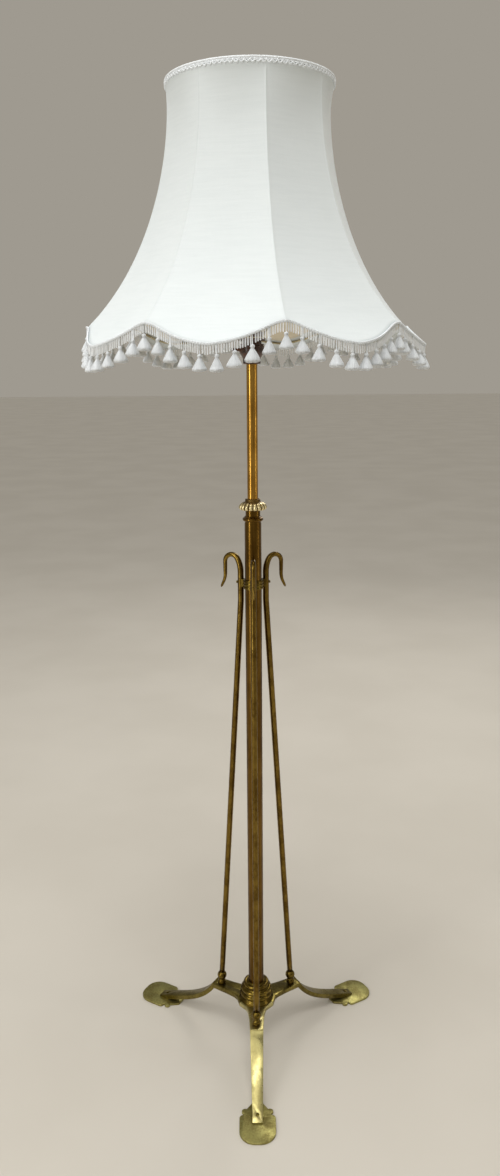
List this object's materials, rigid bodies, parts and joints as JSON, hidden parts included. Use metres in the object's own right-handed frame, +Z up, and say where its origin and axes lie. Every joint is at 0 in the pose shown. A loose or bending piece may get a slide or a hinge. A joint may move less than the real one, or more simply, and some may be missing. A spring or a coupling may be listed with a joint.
{
  "type": "telescopic standard floor lamp",
  "caption": "Brass standard lamp on a three-leg base with hooked brace rods, a height-adjusted inner tube and a fringed bell shade.",
  "frame": {"origin": "on the floor, on the axis of the column", "axes": "+Z up along the column, -Y towards the front leg, +X to the right as seen from the front"},
  "size_m": [0.4878, 0.4876, 1.5016],
  "materials": {
    "leg_brass": "satin, worn and slightly pale",
    "aged_brass": "aged, polished",
    "tube_brass": "polished",
    "screw_steel": "satin",
    "brown_bakelite": "gloss",
    "ceramic": "matt",
    "bulb_glass": "pearl",
    "frame_wire": "satin white",
    "shade_fabric": "woven, matt with a faint sheen",
    "shade_lining": "woven, matt",
    "shade_trim": "corded, matt"
  },
  "bodies": {
    "stand": {"leg_front": "leg_brass", "leg_right": "leg_brass", "leg_left": "leg_brass", "foot_front": "leg_brass", "foot_right": "leg_brass", "foot_left": "leg_brass", "foot_rivets": "leg_brass", "hub": "aged_brass", "base_washer": "aged_brass", "base_nut": "aged_brass", "leg_screws": "screw_steel", "cord_bush": "brown_bakelite", "column_tube": "aged_brass", "column_cap": "aged_brass", "rod_front": "aged_brass", "rod_right": "aged_brass", "rod_left": "aged_brass", "rod_terminal_front": "aged_brass", "rod_terminal_right": "aged_brass", "rod_terminal_left": "aged_brass", "terminal_screws": "screw_steel", "rod_collar": "aged_brass", "collar_screws": "aged_brass"},
    "clamp_collet": {"collet": "aged_brass"},
    "clamp": {"clamp_nut": "aged_brass"},
    "guide": {"guide_bush": "tube_brass"},
    "mast": {"inner_tube": "tube_brass", "tube_ferrule": "screw_steel", "stop_collar": "screw_steel", "nipple": "tube_brass", "holder_cap": "brown_bakelite", "terminal_block": "ceramic", "contact_pins": "tube_brass", "holder_barrel": "brown_bakelite", "support_ring": "brown_bakelite", "shade_ring": "brown_bakelite", "carrier_ring": "tube_brass", "carrier_arms": "tube_brass", "bulb_cap": "tube_brass", "bulb_pins": "tube_brass", "bulb_glass": "bulb_glass", "bulb_filament": "screw_steel"},
    "switch": {"switch_bar": "brown_bakelite"},
    "shade": {"top_wire": "frame_wire", "hem_wire": "frame_wire", "shade_struts": "frame_wire", "shade_fitter": "frame_wire", "shade_cover": "shade_fabric", "shade_lining": "shade_lining", "top_braid": "shade_trim", "hem_braid": "shade_trim", "fringe_skirt": "shade_trim", "tassels": "shade_trim"}
  },
  "joints": [
    {"name": "collet_rise", "type": "slide", "parent": "stand", "child": "clamp_collet", "axis": [0, 0, 1], "range_m": [0, 0.0015]},
    {"name": "clamp_turn", "type": "hinge", "parent": "clamp_collet", "child": "clamp", "pos_m": [0, 0, 0.92], "axis": [0, 0, 1], "range_deg": [0, 360]},
    {"name": "height", "type": "slide", "parent": "stand", "child": "guide", "axis": [0, 0, 1], "range_m": [-0.19, 0.35]},
    {"name": "mast_swivel", "type": "hinge", "parent": "guide", "child": "mast", "pos_m": [0, 0, 0.5], "axis": [0, 0, 1], "range_deg": [-180, 180]},
    {"name": "switch_slide", "type": "slide", "parent": "mast", "child": "switch", "axis": [1, 0, 0], "range_m": [0, 0.007]},
    {"name": "shade_turn", "type": "hinge", "parent": "mast", "child": "shade", "pos_m": [0, 0, 1.35], "axis": [0, 0, 1], "continuous": true}
  ],
  "couplings": [
    {"joint": "collet_rise", "follows": "clamp_turn", "m_per_rad": 0.0002387}
  ]
}
